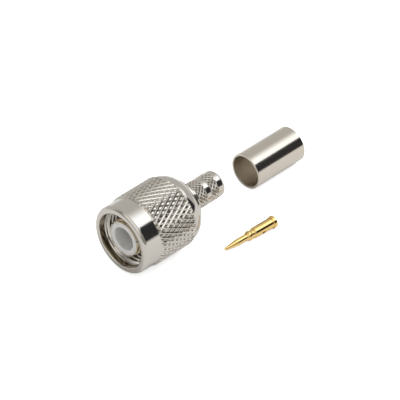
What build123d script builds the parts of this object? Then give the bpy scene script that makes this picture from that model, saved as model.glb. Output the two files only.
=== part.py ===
from build123d import *
from math import atan, cos, degrees, pi, radians, sin, sqrt
import os

# Coaxial crimp plug with a threaded coupling nut, shown as its kit lies: the plug on its side, with
# the crimp ferrule behind it and the centre contact beside it.
# Millimetres. The plug's axis is Y, from the mouth of the nut at Y = 0 to the end of the crimp stem.
# Z is up, and the knurl of the nut touches the surface that the kit lies on.

# Coupling nut, from its mouth to its rear end
nut_blank_d = 13.87
nut_mouth_d = 11.24
nut_mouth_depth = 1.4
nut_mouth_edge = 0.35
nut_front_band = 4.0
nut_rear_band = 0.05
nut_shoulder_r = 3.1
nut_shoulder_length = 2.85
thread_major_d = 11.1125
thread_pitch = 0.907
thread_profile_share = 1.0825
thread_length = 5.8
relief_d = 11.4
relief_length = 1.0

# Diamond knurl of the nut, raised pyramids with flat tops
nut_knurl_d = 14.5
nut_knurl_depth = 0.40
nut_knurl_flat = 0.33
nut_knurl_length = 9.0
nut_knurl_count = 46
nut_knurl_rows = 9
nut_knurl_bevel = 0.2

# Connector body and its crimp stem
body_d = 9.76
body_face_setback = 5.9
body_tail = 0.6
body_edge = 0.12
stem_d = 5.44
stem_bore_d = 4.0
stem_length = 8.4
stem_root_fillet = 0.2
stem_end_d = 5.2
stem_end_bevel = 0.35

# Cross knurl of the stem, a raised net with sunk diamonds
stem_knurl_d = 5.53
stem_knurl_depth = 0.24
stem_knurl_flat = 0.25
stem_knurl_count = 20
stem_knurl_bevel = 0.1
stem_neck = 1.7
stem_band_1 = 2.2
stem_band_1_rows = 5
stem_gap = 1.05
stem_band_2 = 1.95
stem_band_2_rows = 4

# Outer contact, a ring with sawn spring fingers
finger_setback = 0.9
finger_tip_d = 8.26
finger_root_d = 8.10
finger_wall = 0.35
finger_length = 4.4
finger_count = 6
finger_slot = 0.5
finger_slot_angle = 21.0
finger_tip_edge = 0.12
contact_ring_d = 8.2
contact_ring_seat = 3.0

# Insulator
insulator_setback = 0.9
insulator_d = 6.84
insulator_bore_d = 4.8
insulator_bore_depth = 5.4
insulator_flange_d = 7.44
insulator_flange_length = 0.7
insulator_length = 11.8
insulator_edge = 0.12

# Gasket on the front face of the body
gasket_wall = 0.65
gasket_length = 1.0
gasket_edge = 0.25

# Split ring that holds the nut on the body
ring_setback = 11.1
ring_thickness = 0.6
ring_seat_depth = 0.63
ring_width = 0.95
ring_gap = 2.0

# Centre contact, from its tip to its wire end
pin_d = 1.32
pin_tip_d = 0.54
pin_cone_length = 2.95
pin_length = 5.17
pin_collar_d = 1.94
pin_collar_rise = 0.57
pin_collar_length = 0.36
pin_neck_d = 1.70
pin_neck_slope = 0.40
pin_neck_length = 0.27
pin_barrel_d = 2.10
pin_barrel_rise = 0.42
pin_barrel_length = 4.28
pin_flange_d = 2.47
pin_flange_length = 0.77
pin_flange_edge = 0.08
wire_bore_d = 1.44
wire_bore_depth = 4.2
sight_hole_d = 0.8
sight_hole_from_end = 3.34
sight_hole_angle = -20.0

# Crimp ferrule
ferrule_d = 7.372
ferrule_wall = 0.416
ferrule_length = 12.58
ferrule_edge = 0.08

# Clearances between pieces, on the radius or along the axis
nut_fit = 0.07
nose_fit = 0.19
gasket_fit = 0.10
seat_fit = 0.02
groove_fit = 0.10
groove_depth_fit = 0.15
contact_fit = 0.03

# How far a shape that is cut away reaches past the piece it is cut from
cut_past = 1.0

# Where the loose pieces lie in plan: mouth of the ferrule, tip of the centre contact and its heading
ferrule_x = -1.584
ferrule_y = 34.85
contact_x = 9.757
contact_y = 17.75
contact_heading = 4.805

# Worked out from the sizes above
floor_z = -nut_knurl_d / 2
nut_length = nut_front_band + nut_knurl_length + nut_rear_band + nut_shoulder_length
nut_rear_bore_r = body_d / 2 + nut_fit
thread_minor_d = thread_major_d - thread_profile_share * thread_pitch
body_end = nut_length + body_tail
stem_end = body_end + stem_length
contact_ring_end = body_face_setback + contact_ring_seat
insulator_flange_end = contact_ring_end + insulator_flange_length
insulator_end = insulator_setback + insulator_length
ring_end = ring_setback + ring_thickness
ring_inner_r = body_d / 2 - ring_seat_depth
ring_outer_r = ring_inner_r + ring_width
nut_relief_end = nut_mouth_depth + thread_length + relief_length
body_nose_r = thread_minor_d / 2 - nose_fit
pin_collar_start = pin_length + pin_collar_rise
pin_collar_end = pin_collar_start + pin_collar_length
pin_neck_start = pin_collar_end + pin_neck_slope
pin_neck_end = pin_neck_start + pin_neck_length
pin_barrel_start = pin_neck_end + pin_barrel_rise
pin_flange_start = pin_barrel_start + pin_barrel_length
pin_end = pin_flange_start + pin_flange_length


def turned(*edges):
    """Solid turned about Y from edges that close an outline of (radius, position along Y)."""
    return revolve(make_face(Curve() + list(edges)), Axis.Y)


def turned_outline(*points):
    """Solid turned about Y from the corners of its half section."""
    return turned(Polyline(*points, close=True))


def bored(radius, start, end):
    """Solid cylinder on the Y axis, for a plain length or a bore."""
    return turned_outline((0, start), (radius, start), (radius, end), (0, end))


def around_axis(shape, angle):
    """Shape turned about Y, by an angle counted from X towards Z."""
    return Rot(0, -angle, 0) * shape


def knurled(edge_d, centre_d, flat, start, length, count, rows, bevel):
    """Solid with a diamond pattern rolled round it. The sides of each diamond start at edge_d and rise or
    fall to a small flat diamond at centre_d, whose width is the share flat of the whole one's."""
    edge_r = edge_d / 2
    centre_r = centre_d / 2
    pitch = length / rows
    half_turn = pi / count
    side_x = edge_r * sin(half_turn)
    side_r = edge_r * cos(half_turn)
    flat_x = centre_r * sin(flat * half_turn)
    flat_r = centre_r * cos(flat * half_turn)
    meeting_r = side_r + (flat_r - side_r) * side_x / (side_x - flat_x)
    flat_reach = pitch * (meeting_r - flat_r) / (meeting_r - edge_r)

    def place(row, step, radius, inset=0):
        """Point of the pattern. Each even row is turned by half a step."""
        turn = 2 * half_turn * (step + 0.5 * ((row + 1) % 2))
        return Vector(radius * cos(turn), start + row * pitch + inset, radius * sin(turn))

    def facet(ring):
        """One flat face through the points of a ring."""
        return Face(Wire.make_polygon(ring, close=True))

    def diamond(row, step):
        """Flat sides of one diamond and the flat in its middle."""
        beside = step + (row + 1) % 2
        middle = step + 0.5
        corners = [
            place(row, step, edge_r),
            place(row - 1, beside, edge_r),
            place(row, step + 1, edge_r),
            place(row + 1, beside, edge_r),
        ]
        flats = [
            place(row, middle - flat / 2, centre_r),
            place(row, middle, flat_r, -flat_reach),
            place(row, middle + flat / 2, centre_r),
            place(row, middle, flat_r, flat_reach),
        ]
        sides = [facet((corners[i - 1], corners[i], flats[i], flats[i - 1])) for i in range(4)]
        return sides + [facet(flats)]

    def half_diamond(row, step):
        """Half a diamond at an end, closed by a bevel."""
        inward = 1 if row == 0 else -1
        corners = [
            place(row, step, edge_r),
            place(row + inward, step + (row + 1) % 2, edge_r),
            place(row, step + 1, edge_r),
        ]
        height = (centre_r - edge_r) * (1 - bevel / pitch)
        centre = place(row, step + 0.5, edge_r + height, inward * bevel)
        return [facet((corners[i - 1], corners[i], centre)) for i in range(3)]

    faces = []
    for row in range(1, rows):
        for step in range(count):
            faces += diamond(row, step)
    for row in (0, rows):
        for step in range(count):
            faces += half_diamond(row, step)
        faces.append(facet([place(row, step, edge_r) for step in range(count)]))
    return Solid(Shell(faces))


def nut_blank():
    """Outside of the nut: a plain band with a rounded mouth, the knurl, and a round shoulder."""
    blank_r = nut_blank_d / 2
    edge_r = blank_r - nut_mouth_edge
    corner = nut_mouth_edge * (1 - sqrt(0.5))
    front = turned(
        Line((0, 0), (edge_r, 0)),
        ThreePointArc((edge_r, 0), (blank_r - corner, corner), (blank_r, nut_mouth_edge)),
        Line((blank_r, nut_mouth_edge), (blank_r, nut_front_band)),
        Line((blank_r, nut_front_band), (0, nut_front_band)),
        Line((0, nut_front_band), (0, 0)),
    )
    knurl = knurled(
        nut_knurl_d - 2 * nut_knurl_depth,
        nut_knurl_d,
        nut_knurl_flat,
        nut_front_band,
        nut_knurl_length,
        nut_knurl_count,
        nut_knurl_rows,
        nut_knurl_bevel,
    )
    knurl_end = nut_front_band + nut_knurl_length
    arc_start = knurl_end + nut_rear_band
    arc_centre_r = blank_r - nut_shoulder_r
    half = nut_shoulder_length / 2
    half_r = arc_centre_r + sqrt(nut_shoulder_r**2 - half**2)
    end_r = arc_centre_r + sqrt(nut_shoulder_r**2 - nut_shoulder_length**2)
    rear = turned(
        Line((0, knurl_end), (blank_r, knurl_end)),
        Line((blank_r, knurl_end), (blank_r, arc_start)),
        ThreePointArc((blank_r, arc_start), (half_r, arc_start + half), (end_r, nut_length)),
        Line((end_r, nut_length), (0, nut_length)),
        Line((0, nut_length), (0, knurl_end)),
    )
    return front + knurl + rear


def nut_hollow():
    """Inside of the nut: mouth, thread at its minor diameter, relief, and the bore for the body."""
    thread_end = nut_relief_end - relief_length
    mouth_r = nut_mouth_d / 2
    minor_r = thread_minor_d / 2
    return turned_outline(
        (0, -cut_past),
        (mouth_r, -cut_past),
        (mouth_r, nut_mouth_depth),
        (minor_r, nut_mouth_depth + mouth_r - minor_r),
        (minor_r, thread_end),
        (relief_d / 2, thread_end),
        (relief_d / 2, nut_relief_end),
        (nut_rear_bore_r, nut_relief_end),
        (nut_rear_bore_r, nut_length + cut_past),
        (0, nut_length + cut_past),
    )


def coupling_nut():
    """Nut that turns on the body, held by the split ring in a groove of its bore."""
    groove = bored(
        ring_outer_r + groove_depth_fit,
        ring_setback - groove_fit,
        ring_end + groove_fit,
    )
    return nut_blank() - nut_hollow() - groove


def crimp_stem():
    """Stem that goes under the cable's braid: two knurled bands between plain ones."""
    stem_r = stem_d / 2
    plain = turned_outline(
        (0, body_end),
        (stem_r + stem_root_fillet, body_end),
        (stem_r, body_end + stem_root_fillet),
        (stem_r, stem_end - stem_end_bevel),
        (stem_end_d / 2, stem_end),
        (0, stem_end),
    )
    band_1_start = body_end + stem_neck
    band_2_start = band_1_start + stem_band_1 + stem_gap
    sunk_d = stem_knurl_d - 2 * stem_knurl_depth
    for start, length, rows in (
        (band_1_start, stem_band_1, stem_band_1_rows),
        (band_2_start, stem_band_2, stem_band_2_rows),
    ):
        plain -= bored(stem_r + cut_past, start, start + length)
        plain += knurled(
            stem_knurl_d,
            sunk_d,
            stem_knurl_flat,
            start,
            length,
            stem_knurl_count,
            rows,
            stem_knurl_bevel,
        )
    return plain


def body_hollow():
    """Inside of the body: seats of the outer contact, insulator flange and insulator, then the bore
    for the cable core."""
    seat_r = contact_ring_d / 2 + seat_fit
    flange_r = insulator_flange_d / 2 + seat_fit
    insulator_r = insulator_d / 2 + seat_fit
    bore_r = stem_bore_d / 2
    return turned_outline(
        (0, body_face_setback - cut_past),
        (seat_r, body_face_setback - cut_past),
        (seat_r, contact_ring_end),
        (flange_r, contact_ring_end),
        (flange_r, insulator_flange_end),
        (insulator_r, insulator_flange_end),
        (insulator_r, insulator_end),
        (bore_r, insulator_end),
        (bore_r, stem_end + cut_past),
        (0, stem_end + cut_past),
    )


def connector_body():
    """Turned body: the length that the nut runs on, its ring groove, and the crimp stem."""
    body_r = body_d / 2
    shank = turned_outline(
        (0, body_face_setback),
        (body_nose_r - body_edge, body_face_setback),
        (body_nose_r, body_face_setback + body_edge),
        (body_nose_r, nut_relief_end),
        (body_r, nut_relief_end),
        (body_r, body_end - body_edge),
        (body_r - body_edge, body_end),
        (0, body_end),
    )
    groove_r = ring_inner_r - seat_fit
    groove = turned_outline(
        (groove_r, ring_setback - seat_fit),
        (body_r + cut_past, ring_setback - seat_fit),
        (body_r + cut_past, ring_end + seat_fit),
        (groove_r, ring_end + seat_fit),
    )
    return shank - groove + crimp_stem() - body_hollow()


def outer_contact():
    """Spring-metal ring pressed into the body, sawn into fingers that grip the socket."""
    tip_r = finger_tip_d / 2
    root_r = finger_root_d / 2
    ring_r = contact_ring_d / 2
    root = finger_setback + finger_length
    inner_r = root_r - finger_wall
    ring = turned_outline(
        (tip_r - finger_wall, finger_setback + finger_tip_edge),
        (tip_r - finger_wall + finger_tip_edge, finger_setback),
        (tip_r - finger_tip_edge, finger_setback),
        (tip_r, finger_setback + finger_tip_edge),
        (root_r, root),
        (ring_r, root),
        (ring_r, contact_ring_end),
        (insulator_d / 2 + seat_fit, contact_ring_end),
        (insulator_d / 2 + seat_fit, root),
        (inner_r, root),
    )
    saw = Box(
        tip_r + cut_past,
        finger_length + cut_past,
        finger_slot,
        align=(Align.MIN, Align.MAX, Align.CENTER),
    )
    saw = Pos(0, root, 0) * saw
    for finger in range(finger_count):
        ring -= around_axis(saw, finger_slot_angle + finger * 360 / finger_count)
    return ring


def insulator():
    """Turned insulator: a deep socket in front, a web with a snap lip, and a seat for the flange of
    the centre contact behind."""
    outer_r = insulator_d / 2
    flange_r = insulator_flange_d / 2
    shell = turned_outline(
        (0, insulator_setback),
        (outer_r - insulator_edge, insulator_setback),
        (outer_r, insulator_setback + insulator_edge),
        (outer_r, contact_ring_end + seat_fit),
        (flange_r, contact_ring_end + seat_fit),
        (flange_r, insulator_flange_end - seat_fit),
        (outer_r, insulator_flange_end - seat_fit),
        (outer_r, insulator_end - seat_fit),
        (0, insulator_end - seat_fit),
    )
    socket = bored(
        insulator_bore_d / 2,
        insulator_setback - cut_past,
        insulator_setback + insulator_bore_depth,
    )
    flange_seat = insulator_end - seat_fit - pin_flange_length
    tip = flange_seat - pin_flange_start
    lip_start = tip + pin_neck_start + contact_fit
    lip_end = tip + pin_neck_end - contact_fit
    collar_r = pin_collar_d / 2 + contact_fit
    lip_r = pin_neck_d / 2 + contact_fit
    barrel_r = pin_barrel_d / 2 + contact_fit
    seat_r = pin_flange_d / 2 + contact_fit
    passage = turned_outline(
        (0, insulator_setback),
        (collar_r, insulator_setback),
        (collar_r, lip_start),
        (lip_r, lip_start),
        (lip_r, lip_end),
        (barrel_r, lip_end + barrel_r - lip_r),
        (barrel_r, flange_seat),
        (seat_r, flange_seat),
        (seat_r, insulator_end + cut_past),
        (0, insulator_end + cut_past),
    )
    return shell - socket - passage


def gasket():
    """Rubber seal on the front face of the body, round the outer contact."""
    end = body_face_setback
    front = end - gasket_length
    inner_r = contact_ring_d / 2 + gasket_fit
    outer_r = inner_r + gasket_wall
    return turned_outline(
        (inner_r, end),
        (inner_r, front + gasket_edge),
        (inner_r + gasket_edge, front),
        (outer_r - gasket_edge, front),
        (outer_r, front + gasket_edge),
        (outer_r, end),
    )


def retaining_ring():
    """Split spring ring, seated in the body and reaching into the groove of the nut."""
    ring = turned_outline(
        (ring_inner_r, ring_setback),
        (ring_outer_r, ring_setback),
        (ring_outer_r, ring_end),
        (ring_inner_r, ring_end),
    )
    middle = ring_setback + ring_thickness / 2
    gap = Pos(0, middle, -ring_outer_r) * Box(ring_gap, 2 * ring_thickness, ring_outer_r)
    return ring - gap


def centre_contact():
    """Turned pin: cone tip, pin, snap collar and neck, and a crimp barrel with a flange. It lies
    tilted, on the edge of its flange and the front edge of its barrel."""
    pin_r = pin_d / 2
    tip_r = pin_tip_d / 2
    barrel_r = pin_barrel_d / 2
    flange_r = pin_flange_d / 2
    pin = turned(
        ThreePointArc((0, 0), (tip_r * sqrt(0.5), tip_r * (1 - sqrt(0.5))), (tip_r, tip_r)),
        Polyline(
            (tip_r, tip_r),
            (pin_r, pin_cone_length),
            (pin_r, pin_length),
            (pin_collar_d / 2, pin_collar_start),
            (pin_collar_d / 2, pin_collar_end),
            (pin_neck_d / 2, pin_neck_start),
            (pin_neck_d / 2, pin_neck_end),
            (barrel_r, pin_barrel_start),
            (barrel_r, pin_flange_start),
            (flange_r, pin_flange_start),
            (flange_r, pin_end - pin_flange_edge),
            (flange_r - pin_flange_edge, pin_end),
            (0, pin_end),
            (0, 0),
        ),
    )
    wire_bore = bored(wire_bore_d / 2, pin_end - wire_bore_depth, pin_end + cut_past)
    sight_hole = Pos(barrel_r, pin_end - sight_hole_from_end, 0) * Rot(0, 90, 0) * Cylinder(
        sight_hole_d / 2, pin_barrel_d
    )
    pin = pin - wire_bore - around_axis(sight_hole, sight_hole_angle)
    tilt = atan((flange_r - barrel_r) / pin_barrel_length)
    tip_z = floor_z + barrel_r * cos(tilt) - pin_barrel_start * sin(tilt)
    return Pos(contact_x, contact_y, tip_z) * Rot(0, 0, -contact_heading) * Rot(degrees(tilt), 0, 0) * pin


def crimp_ferrule():
    """Plain tube that is crimped over the cable's braid on the stem."""
    outer_r = ferrule_d / 2
    inner_r = outer_r - ferrule_wall
    tube = turned_outline(
        (inner_r + ferrule_edge, 0),
        (outer_r - ferrule_edge, 0),
        (outer_r, ferrule_edge),
        (outer_r, ferrule_length - ferrule_edge),
        (outer_r - ferrule_edge, ferrule_length),
        (inner_r + ferrule_edge, ferrule_length),
        (inner_r, ferrule_length - ferrule_edge),
        (inner_r, ferrule_edge),
    )
    return Pos(ferrule_x, ferrule_y, floor_z + outer_r) * tube


pieces = {
    "coupling_nut": coupling_nut(),
    "connector_body": connector_body(),
    "outer_contact": outer_contact(),
    "insulator": insulator(),
    "gasket": gasket(),
    "retaining_ring": retaining_ring(),
    "centre_contact": centre_contact(),
    "crimp_ferrule": crimp_ferrule(),
}

os.makedirs("parts", exist_ok=True)
for name, solid in pieces.items():
    export_step(solid, f"parts/{name}.step")
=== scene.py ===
from math import atan, cos, hypot, pi, radians, sin, tan

import bmesh
import bpy
import numpy as np
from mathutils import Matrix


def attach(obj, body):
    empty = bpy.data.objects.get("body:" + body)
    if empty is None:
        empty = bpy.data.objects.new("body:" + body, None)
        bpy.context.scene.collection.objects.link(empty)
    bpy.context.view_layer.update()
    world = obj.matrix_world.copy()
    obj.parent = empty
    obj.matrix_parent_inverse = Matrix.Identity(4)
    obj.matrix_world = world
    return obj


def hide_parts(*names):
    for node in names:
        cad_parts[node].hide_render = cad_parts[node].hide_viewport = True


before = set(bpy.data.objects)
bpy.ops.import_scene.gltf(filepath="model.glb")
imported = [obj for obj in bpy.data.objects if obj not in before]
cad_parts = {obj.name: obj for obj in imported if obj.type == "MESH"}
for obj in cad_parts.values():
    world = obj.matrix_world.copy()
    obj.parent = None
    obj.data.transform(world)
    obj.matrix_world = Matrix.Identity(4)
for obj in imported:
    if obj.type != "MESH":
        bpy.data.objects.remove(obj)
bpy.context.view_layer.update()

# Connector body: turned from free-cutting brass in one piece with its crimp stem, then bright nickel
# plated. The nut runs on its shank, and two bands of the stem are cross-knurled to grip the braid.

# Sizes are in millimetres. R is a radius, and Y a place along the axis, from the nut's mouth backwards.
MM = 0.001
BODY_R = 4.88
BODY_END_Y = 16.5
NOSE_R = 4.875
FACE_Y = 5.9
RELIEF_END_Y = 8.2
CONTACT_SEAT_R = 4.12
CONTACT_SEAT_Y = 8.9
FLANGE_SEAT_R = 3.74
FLANGE_SEAT_Y = 9.6
INSULATOR_SEAT_R = 3.46
INSULATOR_SEAT_Y = 12.7
RING_GROOVE_R = 4.23
RING_GROOVE_START_Y = 11.08
RING_GROOVE_END_Y = 11.72
STEM_R = 2.72
STEM_TAIL_Y = 24.0
STEM_TAPER_Y = 24.55
STEM_TIP_R = 2.60
STEM_END_Y = 24.9
STEM_BORE_R = 2.0

# The stem's knurl: start, end and rows of diamonds of each band, and the wall of a ridge as steps of
# (phase, sink). Cells are grid steps from a ridge to the middle between two ridges.
STEM_BANDS = ((18.2, 20.4, 5), (21.45, 23.4, 4))
STEM_NET_R = 2.765
STEM_SUNK = 0.36
STEM_BEVEL = 0.1
STEM_DIAMONDS = 20
STEM_CELLS = 6
STEM_COLUMNS = STEM_DIAMONDS * 2 * STEM_CELLS
STEM_PITS = ((0, 0), (0.18, 0.14), (0.3, 1), (0.5, 1))

# The distance from a knurl to the plain band beside it, the distance of a guard point from its arc, the
# distance in metres within which points are one, and the bend of an edge that stays crisp.
KNURL_GAP = 0.02
GUARD = 0.02
SAME_POINT = 1e-7
SHARP_ANGLE = radians(32)


def rounded(corners, steps=4):
    """Outline points (radius, place along the axis). Each corner is (radius, place, fillet): an arc of
    that radius, tangent to both sides, takes the corner's place. Arc point k is the arc's centre plus
    the radius times the direction that turns evenly from one tangent point to the other. A guard point
    a little beyond each tangent point keeps the shading of the straight sides straight."""
    points = np.array([c[:2] for c in corners], float)
    fillets = [c[2] if len(c) > 2 else 0.0 for c in corners]
    out = []
    for i, (corner, fillet) in enumerate(zip(points, fillets)):
        if fillet == 0:
            out.append(corner[None])
            continue
        before = points[i - 1] - corner
        after = points[(i + 1) % len(points)] - corner
        before = before / hypot(*before)
        after = after / hypot(*after)
        half = 0.5 * np.arccos(np.clip(before @ after, -1, 1))
        reach = fillet / tan(half)
        middle = before + after
        centre = corner + middle / hypot(*middle) * fillet / sin(half)
        first = corner + before * reach - centre
        last = corner + after * reach - centre
        share = np.linspace(0, 1, steps + 1)[:, None]
        turn = pi - 2 * half
        arc = (np.sin((1 - share) * turn) * first + np.sin(share * turn) * last) / sin(turn)
        out.append((centre + first + before * GUARD)[None])
        out.append(centre + arc)
        out.append((centre + last + after * GUARD)[None])
    return np.concatenate(out)


def turned_grid(outline, columns):
    """Grid of points round the Y axis: outline point (r, y) at angle a is (r cos a, y, r sin a)."""
    angle = np.linspace(0, 2 * pi, columns, endpoint=False)
    r, y = outline[:, 0][:, None], outline[:, 1][:, None]
    return np.stack([r * np.cos(angle), y + 0 * angle, r * np.sin(angle)], axis=-1)


def quads(rows, columns, offset=0, closed=True):
    """Four-sided faces that join each point of a grid to its next column and next row, and its last row
    to the first if closed."""
    i = np.arange(rows if closed else rows - 1)[:, None]
    j = np.arange(columns)[None]
    i2, j2 = (i + 1) % rows, (j + 1) % columns
    corners = [i * columns + j, i * columns + j2, i2 * columns + j2, i2 * columns + j]
    return offset + np.stack([np.broadcast_to(c, (i.size, j.size)) for c in corners], -1).reshape(-1, 4)


def solid_mesh(name, points, faces):
    """Closed mesh in metres from points in millimetres. Equal points are merged, faces look outwards,
    and edges that bend more than the sharp angle stay crisp."""
    mesh = bpy.data.meshes.new(name)
    mesh.from_pydata((points.reshape(-1, 3) * MM).tolist(), [], list(faces))
    work = bmesh.new()
    work.from_mesh(mesh)
    bmesh.ops.remove_doubles(work, verts=work.verts, dist=SAME_POINT)
    bmesh.ops.dissolve_degenerate(work, edges=work.edges, dist=SAME_POINT)
    bmesh.ops.recalc_face_normals(work, faces=work.faces)
    if work.calc_volume(signed=True) < 0:
        bmesh.ops.reverse_faces(work, faces=work.faces)
    work.to_mesh(mesh)
    work.free()
    mesh.polygons.foreach_set("use_smooth", np.ones(len(mesh.polygons), bool))
    mesh.set_sharp_from_angle(angle=SHARP_ANGLE)
    piece = bpy.data.objects.new(name, mesh)
    bpy.context.scene.collection.objects.link(piece)
    return piece


def plain_part(outline, columns):
    """Part of a knurled solid that has no knurl: the rows of its outline, and no splits."""
    return turned_grid(outline, columns), None


def knurled_part(edge_r, crest, depth, start, end, rows, count, cells, bevel, pits):
    """Grid rows of a diamond knurl, and for each of its quads whether the first family forms it. Two
    families of ridges cross. Their phases are turn + y and turn - y in diamonds, moved on by half a
    diamond. The table of pits has (phase, sink) for even steps from a ridge to the middle between two:
    it spaces the grid lines and shapes the walls. The radius is edge_r plus the crest, less the depth
    times the lesser of the two sinks, and this relief rises over the bevel at both ends."""
    diamond = 2 * cells
    step = np.arange(count * diamond)[None]
    row = np.arange(rows * cells + 1)[:, None]
    even_y = row / cells * (end - start) / rows

    def family(index):
        """How far the grid line at a whole number of steps moves from its even place, and its sink."""
        phases, sinks = np.array(pits).T
        even = np.linspace(0, 0.5, len(pits))
        within = index / diamond % 1.0
        mirrored = np.minimum(within, 1 - within)
        phase = np.interp(mirrored, even, phases)
        moved = np.where(within > 0.5, mirrored - phase, phase - mirrored)
        return moved, np.interp(mirrored, even, sinks)

    # Half a diamond is as many steps as there are cells.
    climbing = step + row + cells
    falling = step - row + cells
    moved_a, sink_a = family(climbing)
    moved_b, sink_b = family(falling)

    # Grid lines move freely from one diamond inwards, and not at all at the ends, so those are level.
    freedom = np.minimum(1, np.minimum(row, rows * cells - row) / cells)
    turn = (step / diamond + 0.5 * freedom * (moved_a + moved_b)) / count
    y = start + even_y + freedom * (moved_a - moved_b) * (end - start) / rows
    rise = np.clip(np.minimum(y - start, end - y) / bevel, 0, 1)
    r = edge_r + (crest - depth * np.minimum(sink_a, sink_b)) * rise
    angle = 2 * pi * turn

    # The middle of a quad is one step further along the first family, and level with the second's.
    middle_a = family(climbing[:-1] + 1)[1]
    middle_b = family(falling[:-1])[1]
    return np.stack([r * np.cos(angle), y, r * np.sin(angle)], -1), middle_a <= middle_b


def knurled_solid(name, parts):
    """Closed turned solid of parts (rows, splits), end to end. A knurled part's quads are split along
    the ridges: from the second corner to the fourth where the first family forms them, and from the
    first to the third elsewhere. The quads of a plain part stay whole."""
    points = np.concatenate([rows for rows, _ in parts])
    cells = quads(*points.shape[:2]).reshape(*points.shape[:2], 4)
    whole = np.ones(len(points), bool)
    faces = []
    first = 0
    for rows, splits in parts:
        if splits is not None:
            block = cells[first:first + len(splits)]
            whole[first:first + len(splits)] = False
            for corners in ((0, 1, 3), (1, 2, 3)):
                faces += block[splits][:, corners].tolist()
            for corners in ((0, 1, 2), (0, 2, 3)):
                faces += block[~splits][:, corners].tolist()
        first += len(rows)
    return solid_mesh(name, points, faces + cells[whole].reshape(-1, 4).tolist())


def srgb(code):
    """Linear colour from an sRGB hex value."""
    parts = [int(code[i:i + 2], 16) / 255 for i in (0, 2, 4)]
    return [c / 12.92 if c <= 0.04045 else ((c + 0.055) / 1.055) ** 2.4 for c in parts] + [1.0]


def add(tree_owner, kind, settings=(), links=()):
    """Adds a node of that kind to a material or the world, sets its inputs or properties, and links its
    inputs."""
    node = tree_owner.node_tree.nodes.new("ShaderNode" + kind)
    for key, value in dict(settings).items():
        if isinstance(key, int) or key in node.inputs:
            node.inputs[key].default_value = value
        else:
            setattr(node, key, value)
    for key, source in dict(links).items():
        tree_owner.node_tree.links.new(source, node.inputs[key])
    return node


def new_material(name):
    """Empty node material with its output node, returned with that node."""
    material = bpy.data.materials.new(name)
    material.use_nodes = True
    material.node_tree.nodes.clear()
    return material, add(material, "OutputMaterial")


# The width of the metal's bumps, and of the patches where handling has dulled it.
PEEL = 0.35
HAZE = 4.0


def bright_metal(name, colour, roughness, dull, grain):
    """Bright metal, plated or bare. A faint orange peel, as high as the grain in millimetres, breaks up
    the edges of reflections, and handling has raised the roughness a little in soft patches."""
    material, output = new_material(name)
    where = add(material, "TexCoord").outputs["Object"]
    peel = add(material, "TexNoise", {"Scale": 1 / (PEEL * MM), "Detail": 3.0}, {"Vector": where})
    haze = add(material, "TexNoise", {"Scale": 1 / (HAZE * MM), "Detail": 2.0}, {"Vector": where})
    bump = add(material, "Bump", {"Strength": 1.0, "Distance": grain * MM}, {
        "Height": peel.outputs["Fac"]})
    rough = add(material, "MapRange", {"To Min": roughness, "To Max": roughness + dull}, {
        "Value": haze.outputs["Fac"]})
    shader = add(material, "BsdfPrincipled", {"Base Color": srgb(colour), "Metallic": 1.0}, {
        "Roughness": rough.outputs[0], "Normal": bump.outputs[0]})
    material.node_tree.links.new(shader.outputs[0], output.inputs["Surface"])
    return material


# The last corner of the front is there only to give the fillet before it a direction.
body_front = rounded([
    (INSULATOR_SEAT_R, INSULATOR_SEAT_Y), (INSULATOR_SEAT_R, FLANGE_SEAT_Y),
    (FLANGE_SEAT_R, FLANGE_SEAT_Y), (FLANGE_SEAT_R, CONTACT_SEAT_Y),
    (CONTACT_SEAT_R, CONTACT_SEAT_Y), (CONTACT_SEAT_R, FACE_Y, 0.05),
    (NOSE_R, FACE_Y, 0.12), (NOSE_R, RELIEF_END_Y), (BODY_R, RELIEF_END_Y),
    (BODY_R, RING_GROOVE_START_Y), (RING_GROOVE_R, RING_GROOVE_START_Y),
    (RING_GROOVE_R, RING_GROOVE_END_Y), (BODY_R, RING_GROOVE_END_Y),
    (BODY_R, BODY_END_Y, 0.12), (STEM_R, BODY_END_Y, 0.2), (STEM_R, STEM_BANDS[0][0]),
])[:-1]
stem_tail = rounded([
    (STEM_R, STEM_TAIL_Y), (STEM_R, STEM_TAPER_Y, 0.1), (STEM_TIP_R, STEM_END_Y, 0.05),
    (STEM_BORE_R, STEM_END_Y, 0.08), (STEM_BORE_R, INSULATOR_SEAT_Y),
])
body_parts = [plain_part(body_front, STEM_COLUMNS)]
for start, end, rows in STEM_BANDS:
    body_parts.append(plain_part(np.array([[STEM_R, start - KNURL_GAP]]), STEM_COLUMNS))
    body_parts.append(knurled_part(
        STEM_NET_R, 0.0, STEM_SUNK, start, end, rows, STEM_DIAMONDS, STEM_CELLS, STEM_BEVEL, STEM_PITS))
    body_parts.append(plain_part(np.array([[STEM_R, end + KNURL_GAP]]), STEM_COLUMNS))
body_parts.append(plain_part(stem_tail, STEM_COLUMNS))
body = knurled_solid("body_turned", body_parts)

# Bright nickel is a warm grey mirror, with its reflections slightly softened.
body_nickel = bright_metal(
    "bright_nickel_on_turned_brass", "D2CCC2", roughness=0.09, dull=0.05, grain=0.0006)
body.data.materials.append(body_nickel)
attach(body, "plug")
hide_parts("connector_body")


# Outer contact: a ring of spring bronze, nickel plated and pressed into the body. Six saw cuts make
# its front into fingers that close on the mating barrel.

FINGERS = 6
FINGER_COLUMNS = 33
FINGER_TIP_Y = 0.9
FINGER_LIP_R = 3.44
FINGER_LIP_END_Y = 2.0
FINGER_FACE_R = 3.60
FINGER_TIP_R = 3.9
FINGER_CONE_Y = 1.6
FINGER_ROOT_R = 4.05
FINGER_ROOT_Y = 5.3
FINGER_WALL = 0.35
FINGER_THIN_Y = 2.7
RING_R = 4.1
RING_INNER_R = 3.44
RING_START_Y = 5.28
RING_END_Y = 8.9
RING_COLUMNS = 192
SLOT = 0.5
SLOT_ANGLE = radians(21)

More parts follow.
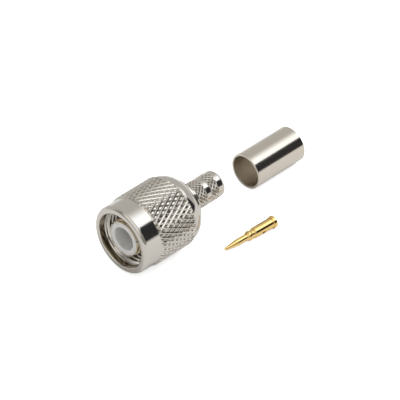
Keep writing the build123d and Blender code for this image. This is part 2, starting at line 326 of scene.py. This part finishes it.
finger_outline = rounded([
    (FINGER_LIP_R, FINGER_LIP_END_Y), (FINGER_LIP_R, FINGER_TIP_Y, 0.04),
    (FINGER_FACE_R, FINGER_TIP_Y, 0.05), (FINGER_TIP_R, FINGER_CONE_Y, 0.1),
    (FINGER_ROOT_R, FINGER_ROOT_Y), (FINGER_ROOT_R - FINGER_WALL, FINGER_ROOT_Y),
    (FINGER_ROOT_R - FINGER_WALL, FINGER_THIN_Y),
])


def finger(index):
    """One finger: its outline carried through the arc between two saw cuts. The half angle lost to a
    cut of width w at radius r is the arc sine of w / 2r, so the sides stay parallel to the cut."""
    r, y = finger_outline[:, 0][None], finger_outline[:, 1][None]
    lost = np.arcsin(SLOT / 2 / r)
    share = np.linspace(0, 1, FINGER_COLUMNS)[:, None]
    span = 2 * pi / FINGERS - 2 * lost
    angle = SLOT_ANGLE + index * 2 * pi / FINGERS + lost + share * span
    return np.stack([r * np.cos(angle), y + 0 * angle, r * np.sin(angle)], -1)


contact_points = []
contact_faces = []
offset = 0
for index in range(FINGERS):
    grid = finger(index)
    arcs, around = grid.shape[:2]
    contact_points.append(grid.reshape(-1, 3))
    contact_faces += quads(arcs, around, offset, closed=False).tolist()
    contact_faces.append([offset + k for k in range(around)])
    contact_faces.append([offset + (arcs - 1) * around + k for k in reversed(range(around))])
    offset += arcs * around
ring_outline = rounded([
    (RING_INNER_R, RING_START_Y), (RING_R, RING_START_Y, 0.05),
    (RING_R, RING_END_Y), (RING_INNER_R, RING_END_Y),
])
contact_points.append(turned_grid(ring_outline, RING_COLUMNS).reshape(-1, 3))
contact_faces += quads(len(ring_outline), RING_COLUMNS, offset).tolist()
fingers = solid_mesh("fingers_sawn", np.concatenate(contact_points), contact_faces)

# Nickel over spring bronze is a little warmer and duller than on the turned pieces.
spring_nickel = bright_metal(
    "nickel_on_spring_bronze", "D8CDB6", roughness=0.14, dull=0.06, grain=0.0006)
fingers.data.materials.append(spring_nickel)
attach(fingers, "plug")
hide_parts("outer_contact")


# Insulator: turned from white PTFE rod, with a deep socket for the mating nose, a web with a snap lip
# for the centre contact, and a flange trapped between the body and the outer contact.

INSULATOR_R = 3.42
INSULATOR_FACE_Y = 0.9
INSULATOR_END_Y = 12.68
FLANGE_R = 3.72
FLANGE_START_Y = 8.92
FLANGE_END_Y = 9.58
SOCKET_R = 2.4
SOCKET_END_Y = 6.3
WEB_BORE_R = 1.0
SNAP_LIP_R = 0.88
SNAP_LIP_START_Y = 6.99
SNAP_LIP_END_Y = 7.20
CONTACT_BORE_R = 1.08
CONTACT_BORE_START_Y = 7.40
CONTACT_BORE_END_Y = 11.91
REAR_POCKET_R = 1.265

insulator_outline = rounded([
    (SOCKET_R, INSULATOR_FACE_Y, 0.22), (INSULATOR_R, INSULATOR_FACE_Y, 0.14),
    (INSULATOR_R, FLANGE_START_Y), (FLANGE_R, FLANGE_START_Y),
    (FLANGE_R, FLANGE_END_Y), (INSULATOR_R, FLANGE_END_Y),
    (INSULATOR_R, INSULATOR_END_Y, 0.08), (REAR_POCKET_R, INSULATOR_END_Y, 0.05),
    (REAR_POCKET_R, CONTACT_BORE_END_Y), (CONTACT_BORE_R, CONTACT_BORE_END_Y),
    (CONTACT_BORE_R, CONTACT_BORE_START_Y), (SNAP_LIP_R, SNAP_LIP_END_Y),
    (SNAP_LIP_R, SNAP_LIP_START_Y), (WEB_BORE_R, SNAP_LIP_START_Y),
    (WEB_BORE_R, SOCKET_END_Y, 0.05), (SOCKET_R, SOCKET_END_Y, 0.1),
])


def turned(name, outline, columns, shift=(0.0, 0.0, 0.0)):
    """Closed solid of revolution from a closed outline, moved by a shift."""
    return solid_mesh(name, turned_grid(outline, columns) + shift, quads(len(outline), columns).tolist())


# The spacing of the rings left by the tool, and the length of the wave texture's period at scale 1.
PTFE_RINGS = 0.16
WAVE_PERIOD = 0.314


def turned_ptfe():
    """PTFE rod as turned: dense milky white that lets light in a little way, so its edges glow, with a
    faint satin sheen and soft rings from the tool."""
    material, output = new_material("turned_ptfe")
    where = add(material, "TexCoord").outputs["Object"]
    rings = add(material, "TexWave", {
        "wave_type": "RINGS", "rings_direction": "Y", "Scale": WAVE_PERIOD / (PTFE_RINGS * MM),
        "Distortion": 1.0, "Detail": 1.0}, {"Vector": where})
    bump = add(material, "Bump", {"Strength": 0.25, "Distance": 0.002 * MM}, {
        "Height": rings.outputs["Fac"]})
    shader = add(material, "BsdfPrincipled", {
        "Base Color": srgb("DEDCD8"), "Roughness": 0.42, "IOR": 1.35, "Subsurface Weight": 0.8,
        "Subsurface Radius": (1.0, 1.0, 1.0), "Subsurface Scale": 0.6 * MM}, {"Normal": bump.outputs[0]})
    material.node_tree.links.new(shader.outputs[0], output.inputs["Surface"])
    return material


insulator = turned("insulator_turned", insulator_outline, columns=256)
insulator.data.materials.append(turned_ptfe())
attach(insulator, "plug")
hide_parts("insulator")


# Gasket: a moulded silicone ring that lies on the front face of the body, round the outer contact.
# The rim of the mating barrel presses into it.

GASKET_INNER_R = 4.2
GASKET_R = 4.85
GASKET_THICK = 1.0
GASKET_FILLET = 0.25

gasket_outline = rounded([
    (GASKET_INNER_R, FACE_Y), (GASKET_INNER_R, FACE_Y - GASKET_THICK, GASKET_FILLET),
    (GASKET_R, FACE_Y - GASKET_THICK, GASKET_FILLET), (GASKET_R, FACE_Y),
], steps=6)

# The width of the patches in the rubber's bloom.
BLOOM = 0.5


def moulded_silicone():
    """Silicone rubber as moulded: matt, with a fine bloom that varies its sheen."""
    material, output = new_material("moulded_silicone")
    where = add(material, "TexCoord").outputs["Object"]
    bloom = add(material, "TexNoise", {"Scale": 1 / (BLOOM * MM), "Detail": 3.0}, {"Vector": where})
    rough = add(material, "MapRange", {"To Min": 0.5, "To Max": 0.7}, {"Value": bloom.outputs["Fac"]})
    shader = add(material, "BsdfPrincipled", {"Base Color": srgb("A8452F"), "IOR": 1.41}, {
        "Roughness": rough.outputs[0]})
    material.node_tree.links.new(shader.outputs[0], output.inputs["Surface"])
    return material


gasket = turned("gasket_moulded", gasket_outline, columns=192)
gasket.data.materials.append(moulded_silicone())
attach(gasket, "plug")
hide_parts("gasket")


# Retaining ring: a split ring of bare spring bronze, sprung into the facing grooves of the body and the
# nut, which it holds together. Its solid has its true form, so it stays and only takes its finish.

# Bare spring bronze is a soft brown gold, duller than the plated pieces.
ring_bronze = bright_metal("bare_spring_bronze", "B98A5E", roughness=0.28, dull=0.1, grain=0.001)
ring_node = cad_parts["retaining_ring"]
ring_node.data.materials.clear()
ring_node.data.materials.append(ring_bronze)


# Coupling nut: turned from brass bar, knurled with a pair of slanted wheels, threaded inside and bright
# nickel plated. It turns on the body and pulls the mating socket in.

NUT_R = 6.935
NUT_END_Y = 15.9
RIM_FILLET = 0.75
MOUTH_R = 5.62
MOUTH_END_Y = 1.3
MOUTH_FILLET = 0.2
THREAD_START_Y = 1.4
THREAD_END_Y = 7.2
THREAD_MAJOR_R = 5.556
THREAD_MINOR_R = 5.065
THREAD_PITCH = 0.907
THREAD_STEPS = 12
THREAD_FLANK = 1.45
THREAD_FLAT = 0.2
THREAD_RUN_OUT = 0.1
RELIEF_R = 5.7
RELIEF_START_Y = 7.22
REAR_BORE_R = 4.95
NUT_GROOVE_R = 5.35
NUT_GROOVE_START_Y = 11.0
NUT_GROOVE_END_Y = 11.8
SHOULDER_START_Y = 13.05
SHOULDER_R = 3.1
SHOULDER_STEPS = 24

# The nut's knurl, with its band as start, end and rows of diamonds.
NUT_BAND = (4.0, 13.0, 9)
NUT_KNURL_R = 6.95
NUT_KNURL_RISE = 0.30
NUT_BEVEL = 0.2
NUT_DIAMONDS = 46
NUT_CELLS = 3
NUT_COLUMNS = NUT_DIAMONDS * 2 * NUT_CELLS
NUT_PITS = ((0, 0), (0.2, 0.23), (0.3, 1), (0.5, 1))


def shoulder_arc():
    """Quarter-like arc of the shoulder: centre plus radius times (cos f, sin f), f from 0 up to where
    the arc reaches the nut's end."""
    last = np.arcsin((NUT_END_Y - SHOULDER_START_Y) / SHOULDER_R)
    f = np.linspace(0, last, SHOULDER_STEPS)
    r = NUT_R - SHOULDER_R + SHOULDER_R * np.cos(f)
    return np.stack([r, SHOULDER_START_Y + SHOULDER_R * np.sin(f)], -1)


def thread_rows():
    """Rows of the internal right-hand thread. A triangle wave of the phase y / pitch + angle / turn is
    stretched by the flank, lowered by the flat and cut off at 0 and 1, which leaves flat crests and
    roots. It takes the radius from the minor to the major one, fades out at the rear end, and gives way
    to a cone at the mouth."""
    rows = round((THREAD_END_Y - THREAD_START_Y) / THREAD_PITCH * THREAD_STEPS)
    y = np.linspace(THREAD_START_Y, THREAD_END_Y, rows)[:, None]
    turn = np.linspace(0, 1, NUT_COLUMNS, endpoint=False)[None]
    phase = (y / THREAD_PITCH + turn) % 1.0
    wave = np.clip((1 - np.abs(2 * phase - 1)) * THREAD_FLANK - THREAD_FLAT, 0, 1)
    run_out = np.clip((THREAD_END_Y - y) / THREAD_RUN_OUT, 0, 1)
    cone = MOUTH_R - (y - THREAD_START_Y)
    r = np.maximum(THREAD_MINOR_R + (THREAD_MAJOR_R - THREAD_MINOR_R) * wave * run_out, cone)
    angle = 2 * pi * turn
    return np.stack([r * np.cos(angle), np.broadcast_to(y, r.shape), r * np.sin(angle)], -1)


mouth = rounded([
    (MOUTH_R, MOUTH_END_Y), (MOUTH_R, 0.0, MOUTH_FILLET), (NUT_R, 0.0, RIM_FILLET),
    (NUT_R, NUT_BAND[0] - KNURL_GAP),
], steps=8)
shoulder = shoulder_arc()

# The first corner is the shoulder's last point, there only to give the fillet after it a direction.
rear_bore = rounded([
    shoulder[-1], (REAR_BORE_R, NUT_END_Y, 0.04), (REAR_BORE_R, NUT_GROOVE_END_Y),
    (NUT_GROOVE_R, NUT_GROOVE_END_Y), (NUT_GROOVE_R, NUT_GROOVE_START_Y),
    (REAR_BORE_R, NUT_GROOVE_START_Y), (REAR_BORE_R, RELIEF_END_Y), (RELIEF_R, RELIEF_END_Y),
    (RELIEF_R, RELIEF_START_Y),
])[1:]
rear = np.concatenate([[[NUT_R, NUT_BAND[1] + KNURL_GAP]], shoulder, rear_bore])
nut = knurled_solid("nut_turned", (
    plain_part(mouth, NUT_COLUMNS),
    knurled_part(
        NUT_KNURL_R, NUT_KNURL_RISE, NUT_KNURL_RISE, *NUT_BAND,
        NUT_DIAMONDS, NUT_CELLS, NUT_BEVEL, NUT_PITS),
    plain_part(rear, NUT_COLUMNS),
    (thread_rows()[::-1], None),
))

# The nut's nickel is the same warm grey mirror, with slightly clearer reflections.
nut_nickel = bright_metal(
    "bright_nickel_on_knurled_brass", "D2CCC2", roughness=0.08, dull=0.05, grain=0.0006)
nut.data.materials.append(nut_nickel)
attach(nut, "nut")
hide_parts("coupling_nut")


# Centre contact: turned from brass and gold plated. It lies loose on the edge of its flange and the
# front edge of its barrel, so it is tilted, and its tip is off the surface.

# The surface is as far below the plug's axis as the crests of the nut's knurl.
FLOOR_Z = -(NUT_KNURL_R + NUT_KNURL_RISE)

# Along the pin, places are counted from its tip.
PIN_R = 0.66
PIN_TIP_R = 0.27
PIN_CONE_END = 2.95
PIN_SHANK_END = 5.17
COLLAR_R = 0.97
COLLAR_START = 5.74
COLLAR_END = 6.10
NECK_R = 0.85
NECK_START = 6.50
NECK_END = 6.77
BARREL_R = 1.05
BARREL_START = 7.19
PIN_FLANGE_R = 1.235
PIN_FLANGE_START = 11.47
PIN_END = 12.24
WIRE_BORE_R = 0.72
WIRE_BORE_DEPTH = 4.2
SIGHT_HOLE_PLACE = 8.90
SIGHT_HOLE_R = 0.4
SIGHT_HOLE_ANGLE = radians(-20)
CUTTER_SIDES = 40
CUTTER_REACH = 1.6
PIN_HEADING = radians(4.805)
PIN_TILT = atan((PIN_FLANGE_R - BARREL_R) / (PIN_FLANGE_START - BARREL_START))
PIN_TIP_HEIGHT = BARREL_R * cos(PIN_TILT) - BARREL_START * sin(PIN_TILT)
PIN_TIP = (9.757, 17.75, FLOOR_Z + PIN_TIP_HEIGHT)


def lay_pin(grid):
    """Turns points about X by the tilt, then about Z by the heading, and moves them to the tip."""
    x, y, z = grid[..., 0], grid[..., 1], grid[..., 2]
    y, z = y * cos(PIN_TILT) - z * sin(PIN_TILT), y * sin(PIN_TILT) + z * cos(PIN_TILT)
    x, y = x * cos(PIN_HEADING) + y * sin(PIN_HEADING), y * cos(PIN_HEADING) - x * sin(PIN_HEADING)
    return np.stack([x, y, z], -1) + PIN_TIP


def sight_hole_cutter():
    """Round cutter that goes outwards from the barrel's axis at the sight hole. Its ring is the hole's
    place along the barrel plus the hole's radius times (cos a, sin a), turned to the hole's side."""
    angle = np.linspace(0, 2 * pi, CUTTER_SIDES, endpoint=False)
    along = SIGHT_HOLE_PLACE + SIGHT_HOLE_R * np.cos(angle)
    ring = np.stack([0 * angle, along, SIGHT_HOLE_R * np.sin(angle)], -1)
    ends = np.stack([ring, ring + (CUTTER_REACH, 0, 0)])
    x, z = ends[..., 0], ends[..., 2]
    c, s = cos(SIGHT_HOLE_ANGLE), sin(SIGHT_HOLE_ANGLE)
    points = np.stack([x * c - z * s, ends[..., 1], x * s + z * c], -1)
    inner = list(range(CUTTER_SIDES))
    outer = list(range(2 * CUTTER_SIDES - 1, CUTTER_SIDES - 1, -1))
    return solid_mesh("cutter", points, quads(2, CUTTER_SIDES, closed=False).tolist() + [inner, outer])


pin_outline = rounded([
    (0.0, PIN_END - WIRE_BORE_DEPTH), (0.0, 0.0), (PIN_TIP_R, 0.0, 0.26), (PIN_R, PIN_CONE_END, 0.4),
    (PIN_R, PIN_SHANK_END, 0.1), (COLLAR_R, COLLAR_START, 0.12), (COLLAR_R, COLLAR_END, 0.1),
    (NECK_R, NECK_START, 0.08), (NECK_R, NECK_END, 0.08), (BARREL_R, BARREL_START, 0.1),
    (BARREL_R, PIN_FLANGE_START, 0.04), (PIN_FLANGE_R, PIN_FLANGE_START, 0.05),
    (PIN_FLANGE_R, PIN_END, 0.09),
    (WIRE_BORE_R, PIN_END, 0.05), (WIRE_BORE_R, PIN_END - WIRE_BORE_DEPTH, 0.05),
], steps=5)
pin = turned("pin_turned", pin_outline, columns=160)
cutter = sight_hole_cutter()
drilled = pin.modifiers.new("sight_hole", "BOOLEAN")
drilled.object = cutter
drilled.solver = "EXACT"
drilled.operation = "DIFFERENCE"
bpy.context.view_layer.update()
cut = bpy.data.meshes.new_from_object(pin.evaluated_get(bpy.context.evaluated_depsgraph_get()))
pin.modifiers.clear()
bpy.data.objects.remove(cutter)
spots = np.empty(len(cut.vertices) * 3)
cut.vertices.foreach_get("co", spots)
cut.vertices.foreach_set("co", (lay_pin(spots.reshape(-1, 3) / MM) * MM).ravel())
cut.polygons.foreach_set("use_smooth", np.ones(len(cut.polygons), bool))
cut.set_sharp_from_angle(angle=SHARP_ANGLE)
pin.data = cut

pin_gold = bright_metal("gold_on_turned_brass", "F1CE86", roughness=0.07, dull=0.04, grain=0.0005)
pin.data.materials.clear()
pin.data.materials.append(pin_gold)
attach(pin, "plug")
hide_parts("centre_contact")


# Crimp ferrule: cut from drawn tube and nickel plated, without polishing. It lies on the surface behind
# the plug, in line with it.

FERRULE_R = 3.686
FERRULE_BORE_R = 3.27
FERRULE_LENGTH = 12.58
FERRULE_MOUTH = (-1.584, 34.85, FLOOR_Z + FERRULE_R)
BORE_DULL_R = 3.35
BORE_BRIGHT_R = 3.55
BORE_ROUGHNESS = 0.38

ferrule_outline = rounded([
    (FERRULE_BORE_R, 0.0, 0.06), (FERRULE_R, 0.0, 0.08), (FERRULE_R, FERRULE_LENGTH, 0.08),
    (FERRULE_BORE_R, FERRULE_LENGTH, 0.06),
], steps=6)


def dull_bore(material):
    """Makes the finish inside the tube duller: the roughness goes from the bore's value to the outside's
    between two distances from the tube's axis."""
    axis = (FERRULE_MOUTH[0] * MM, 0, FERRULE_MOUTH[2] * MM)
    where = add(material, "TexCoord").outputs["Object"]
    across = add(material, "VectorMath", {"operation": "MULTIPLY", 1: (1, 0, 1)}, {0: where})
    apart = add(material, "VectorMath", {"operation": "DISTANCE", 1: axis}, {0: across.outputs[0]})
    shader = next(node for node in material.node_tree.nodes if node.type == "BSDF_PRINCIPLED")
    outside = shader.inputs["Roughness"].links[0].from_socket
    rough = add(material, "MapRange", {
        "From Min": BORE_DULL_R * MM, "From Max": BORE_BRIGHT_R * MM, "To Min": BORE_ROUGHNESS}, {
        "Value": apart.outputs["Value"], "To Max": outside})
    material.node_tree.links.new(rough.outputs[0], shader.inputs["Roughness"])


# Drawn tube keeps a rougher grain under its nickel, which frays the edges of reflections.
ferrule_nickel = bright_metal(
    "nickel_on_drawn_tube", "D6CDBF", roughness=0.12, dull=0.05, grain=0.003)
dull_bore(ferrule_nickel)
ferrule = turned("ferrule_cut", ferrule_outline, columns=256, shift=FERRULE_MOUTH)
ferrule.data.materials.append(ferrule_nickel)
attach(ferrule, "plug")
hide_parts("crimp_ferrule")


# Below that screen the room is dark beyond the sheet, which shows as the dark strip along each
# turned surface.

FLOOR_HALF = 450
CAMERA_LIFT = 0.70


def white_sheet():
    """Matt white paper. The camera sees it a little brighter than it is lit, so that it meets the
    white background without an edge, and it keeps the shadows."""
    material, output = new_material("white_paper_sheet")
    seen = add(material, "LightPath")
    paper = add(material, "BsdfDiffuse", {"Color": srgb("E6E6E6")})
    glow = add(material, "Emission", {"Color": (1, 1, 1, 1)})
    lift = add(material, "Math", {"operation": "MULTIPLY", 1: CAMERA_LIFT}, {
        0: seen.outputs["Is Camera Ray"]})
    material.node_tree.links.new(lift.outputs[0], glow.inputs["Strength"])
    both = add(material, "AddShader", (), {0: paper.outputs[0], 1: glow.outputs[0]})
    material.node_tree.links.new(both.outputs[0], output.inputs["Surface"])
    return material


floor = solid_mesh("floor", np.array([
    [-FLOOR_HALF, -FLOOR_HALF, FLOOR_Z], [FLOOR_HALF, -FLOOR_HALF, FLOOR_Z],
    [FLOOR_HALF, FLOOR_HALF, FLOOR_Z], [-FLOOR_HALF, FLOOR_HALF, FLOOR_Z],
]), [[0, 1, 2, 3]])
floor.data.materials.append(white_sheet())


def toward(azimuth, elevation):
    """Unit vector of a direction in degrees, from +X towards +Y and up."""
    a, e = radians(azimuth), radians(elevation)
    return (cos(a) * cos(e), sin(a) * cos(e), sin(e))


def studio_share(world, where, sides):
    """Share of a part of the studio, from 0 to 1. Each side names a direction and two angles from it.
    The share rises from 0 at the first angle to 1 at the second, by its power, and the sides
    multiply."""
    share = None
    for azimuth, elevation, outer, inner, power in sides:
        near = add(world, "VectorMath", {"operation": "DOT_PRODUCT", 1: toward(azimuth, elevation)}, {
            0: where})
        limits = {"From Min": cos(radians(outer)), "From Max": cos(radians(inner))}
        step = add(world, "MapRange", limits, {"Value": near.outputs["Value"]})
        rise = add(world, "Math", {"operation": "POWER", 1: power}, {0: step.outputs[0]}).outputs[0]
        share = rise if share is None else add(
            world, "Math", {"operation": "MULTIPLY"}, {0: share, 1: rise}).outputs[0]
    return share


# Each part of the studio has a colour, and sides as azimuth, elevation, outer angle, inner angle and
# power. A later part covers an earlier one. The dim side is round the camera.
WALLS = (0.62, 0.62, 0.62, 1)
DIM_SIDE = ((0.30, 0.30, 0.30, 1), ((-60, 35, 85, 60, 1.0),))
FRONT_LAMP = ((1.12, 1.12, 1.12, 1), ((-78, 43, 42, 24, 1.0),))
CEILING = ((0.72, 0.72, 0.72, 1), ((0, 90, 40, 15, 1.0),))
BRIGHT_SCREEN = ((1.80, 1.90, 2.05, 1), ((50, 58, 45, 8, 3.0), (0, 90, 50, 48, 1.0)))
DARK_ROOM = ((0.035, 0.036, 0.04, 1), (
    (45, -49, 90.5, 89.5, 1.0), (-24, -12.3, 92, 88, 1.0),
    (0, 90, 88, 86.5, 1.0), (107, 0, 92, 88, 1.0),
))

# The colour sockets of a Mix node: the one below, the one on top, and the result.
BELOW = 6
ON_TOP = 7
MIXED = 2

world = bpy.data.worlds.new("studio")
bpy.context.scene.world = world
world.use_nodes = True
world.node_tree.nodes.clear()
looked_at = add(world, "TexCoord").outputs["Generated"]
light = None
for colour, sides in (DIM_SIDE, FRONT_LAMP, CEILING, BRIGHT_SCREEN, DARK_ROOM):
    share = studio_share(world, looked_at, sides)
    earlier = {} if light is None else {BELOW: light.outputs[MIXED]}
    light = add(world, "Mix", {"data_type": "RGBA", BELOW: WALLS, ON_TOP: colour}, {0: share, **earlier})
seen = add(world, "LightPath").outputs["Is Camera Ray"]
light = add(world, "Mix", {"data_type": "RGBA", ON_TOP: (1, 1, 1, 1)}, {
    0: seen, BELOW: light.outputs[MIXED]})
background = add(world, "Background", (), {"Color": light.outputs[MIXED]})
add(world, "OutputWorld", (), {"Surface": background.outputs[0]})

SOFT_BOX_SIZE = 0.35
soft_lamp = bpy.data.lights.new("soft_box", "AREA")
soft_lamp.shape = "RECTANGLE"
soft_lamp.size = SOFT_BOX_SIZE
soft_lamp.size_y = SOFT_BOX_SIZE
soft_lamp.energy = 2.0
soft_box = bpy.data.objects.new("soft_box", soft_lamp)
bpy.context.scene.collection.objects.link(soft_box)
soft_box.location = (0.22, 0.30, 0.55)
soft_box.rotation_euler = (-soft_box.location).to_track_quat("-Z", "Y").to_euler()
soft_box.visible_glossy = False


CAMERA_AZIMUTH = radians(45.085)
CAMERA_ELEVATION = radians(38.173)
CAMERA_DISTANCE = 631.0
CAMERA_FOCAL_PX = 3372.4
AIM_Y = 12.29
AIM_RIGHT = 6.113
AIM_UP = 2.286
FRAME_PX = 400
SENSOR = 36.0

a, e = CAMERA_AZIMUTH, CAMERA_ELEVATION
back = np.array([sin(a) * cos(e), -cos(a) * cos(e), sin(e)])
right = np.array([cos(a), sin(a), 0.0])
up = np.cross(back, right)
target = np.array([0.0, AIM_Y, 0.0]) + AIM_RIGHT * right + AIM_UP * up
lens = bpy.data.cameras.new("camera")
lens.sensor_width = SENSOR
lens.lens = CAMERA_FOCAL_PX / FRAME_PX * SENSOR
lens.clip_start = 0.01
lens.clip_end = 10.0
camera = bpy.data.objects.new("camera", lens)
bpy.context.scene.collection.objects.link(camera)
camera.location = ((target + CAMERA_DISTANCE * back) * MM).tolist()
camera.rotation_euler = (pi / 2 - e, 0.0, a)
bpy.context.scene.camera = camera
bpy.context.scene.view_settings.view_transform = "Standard"
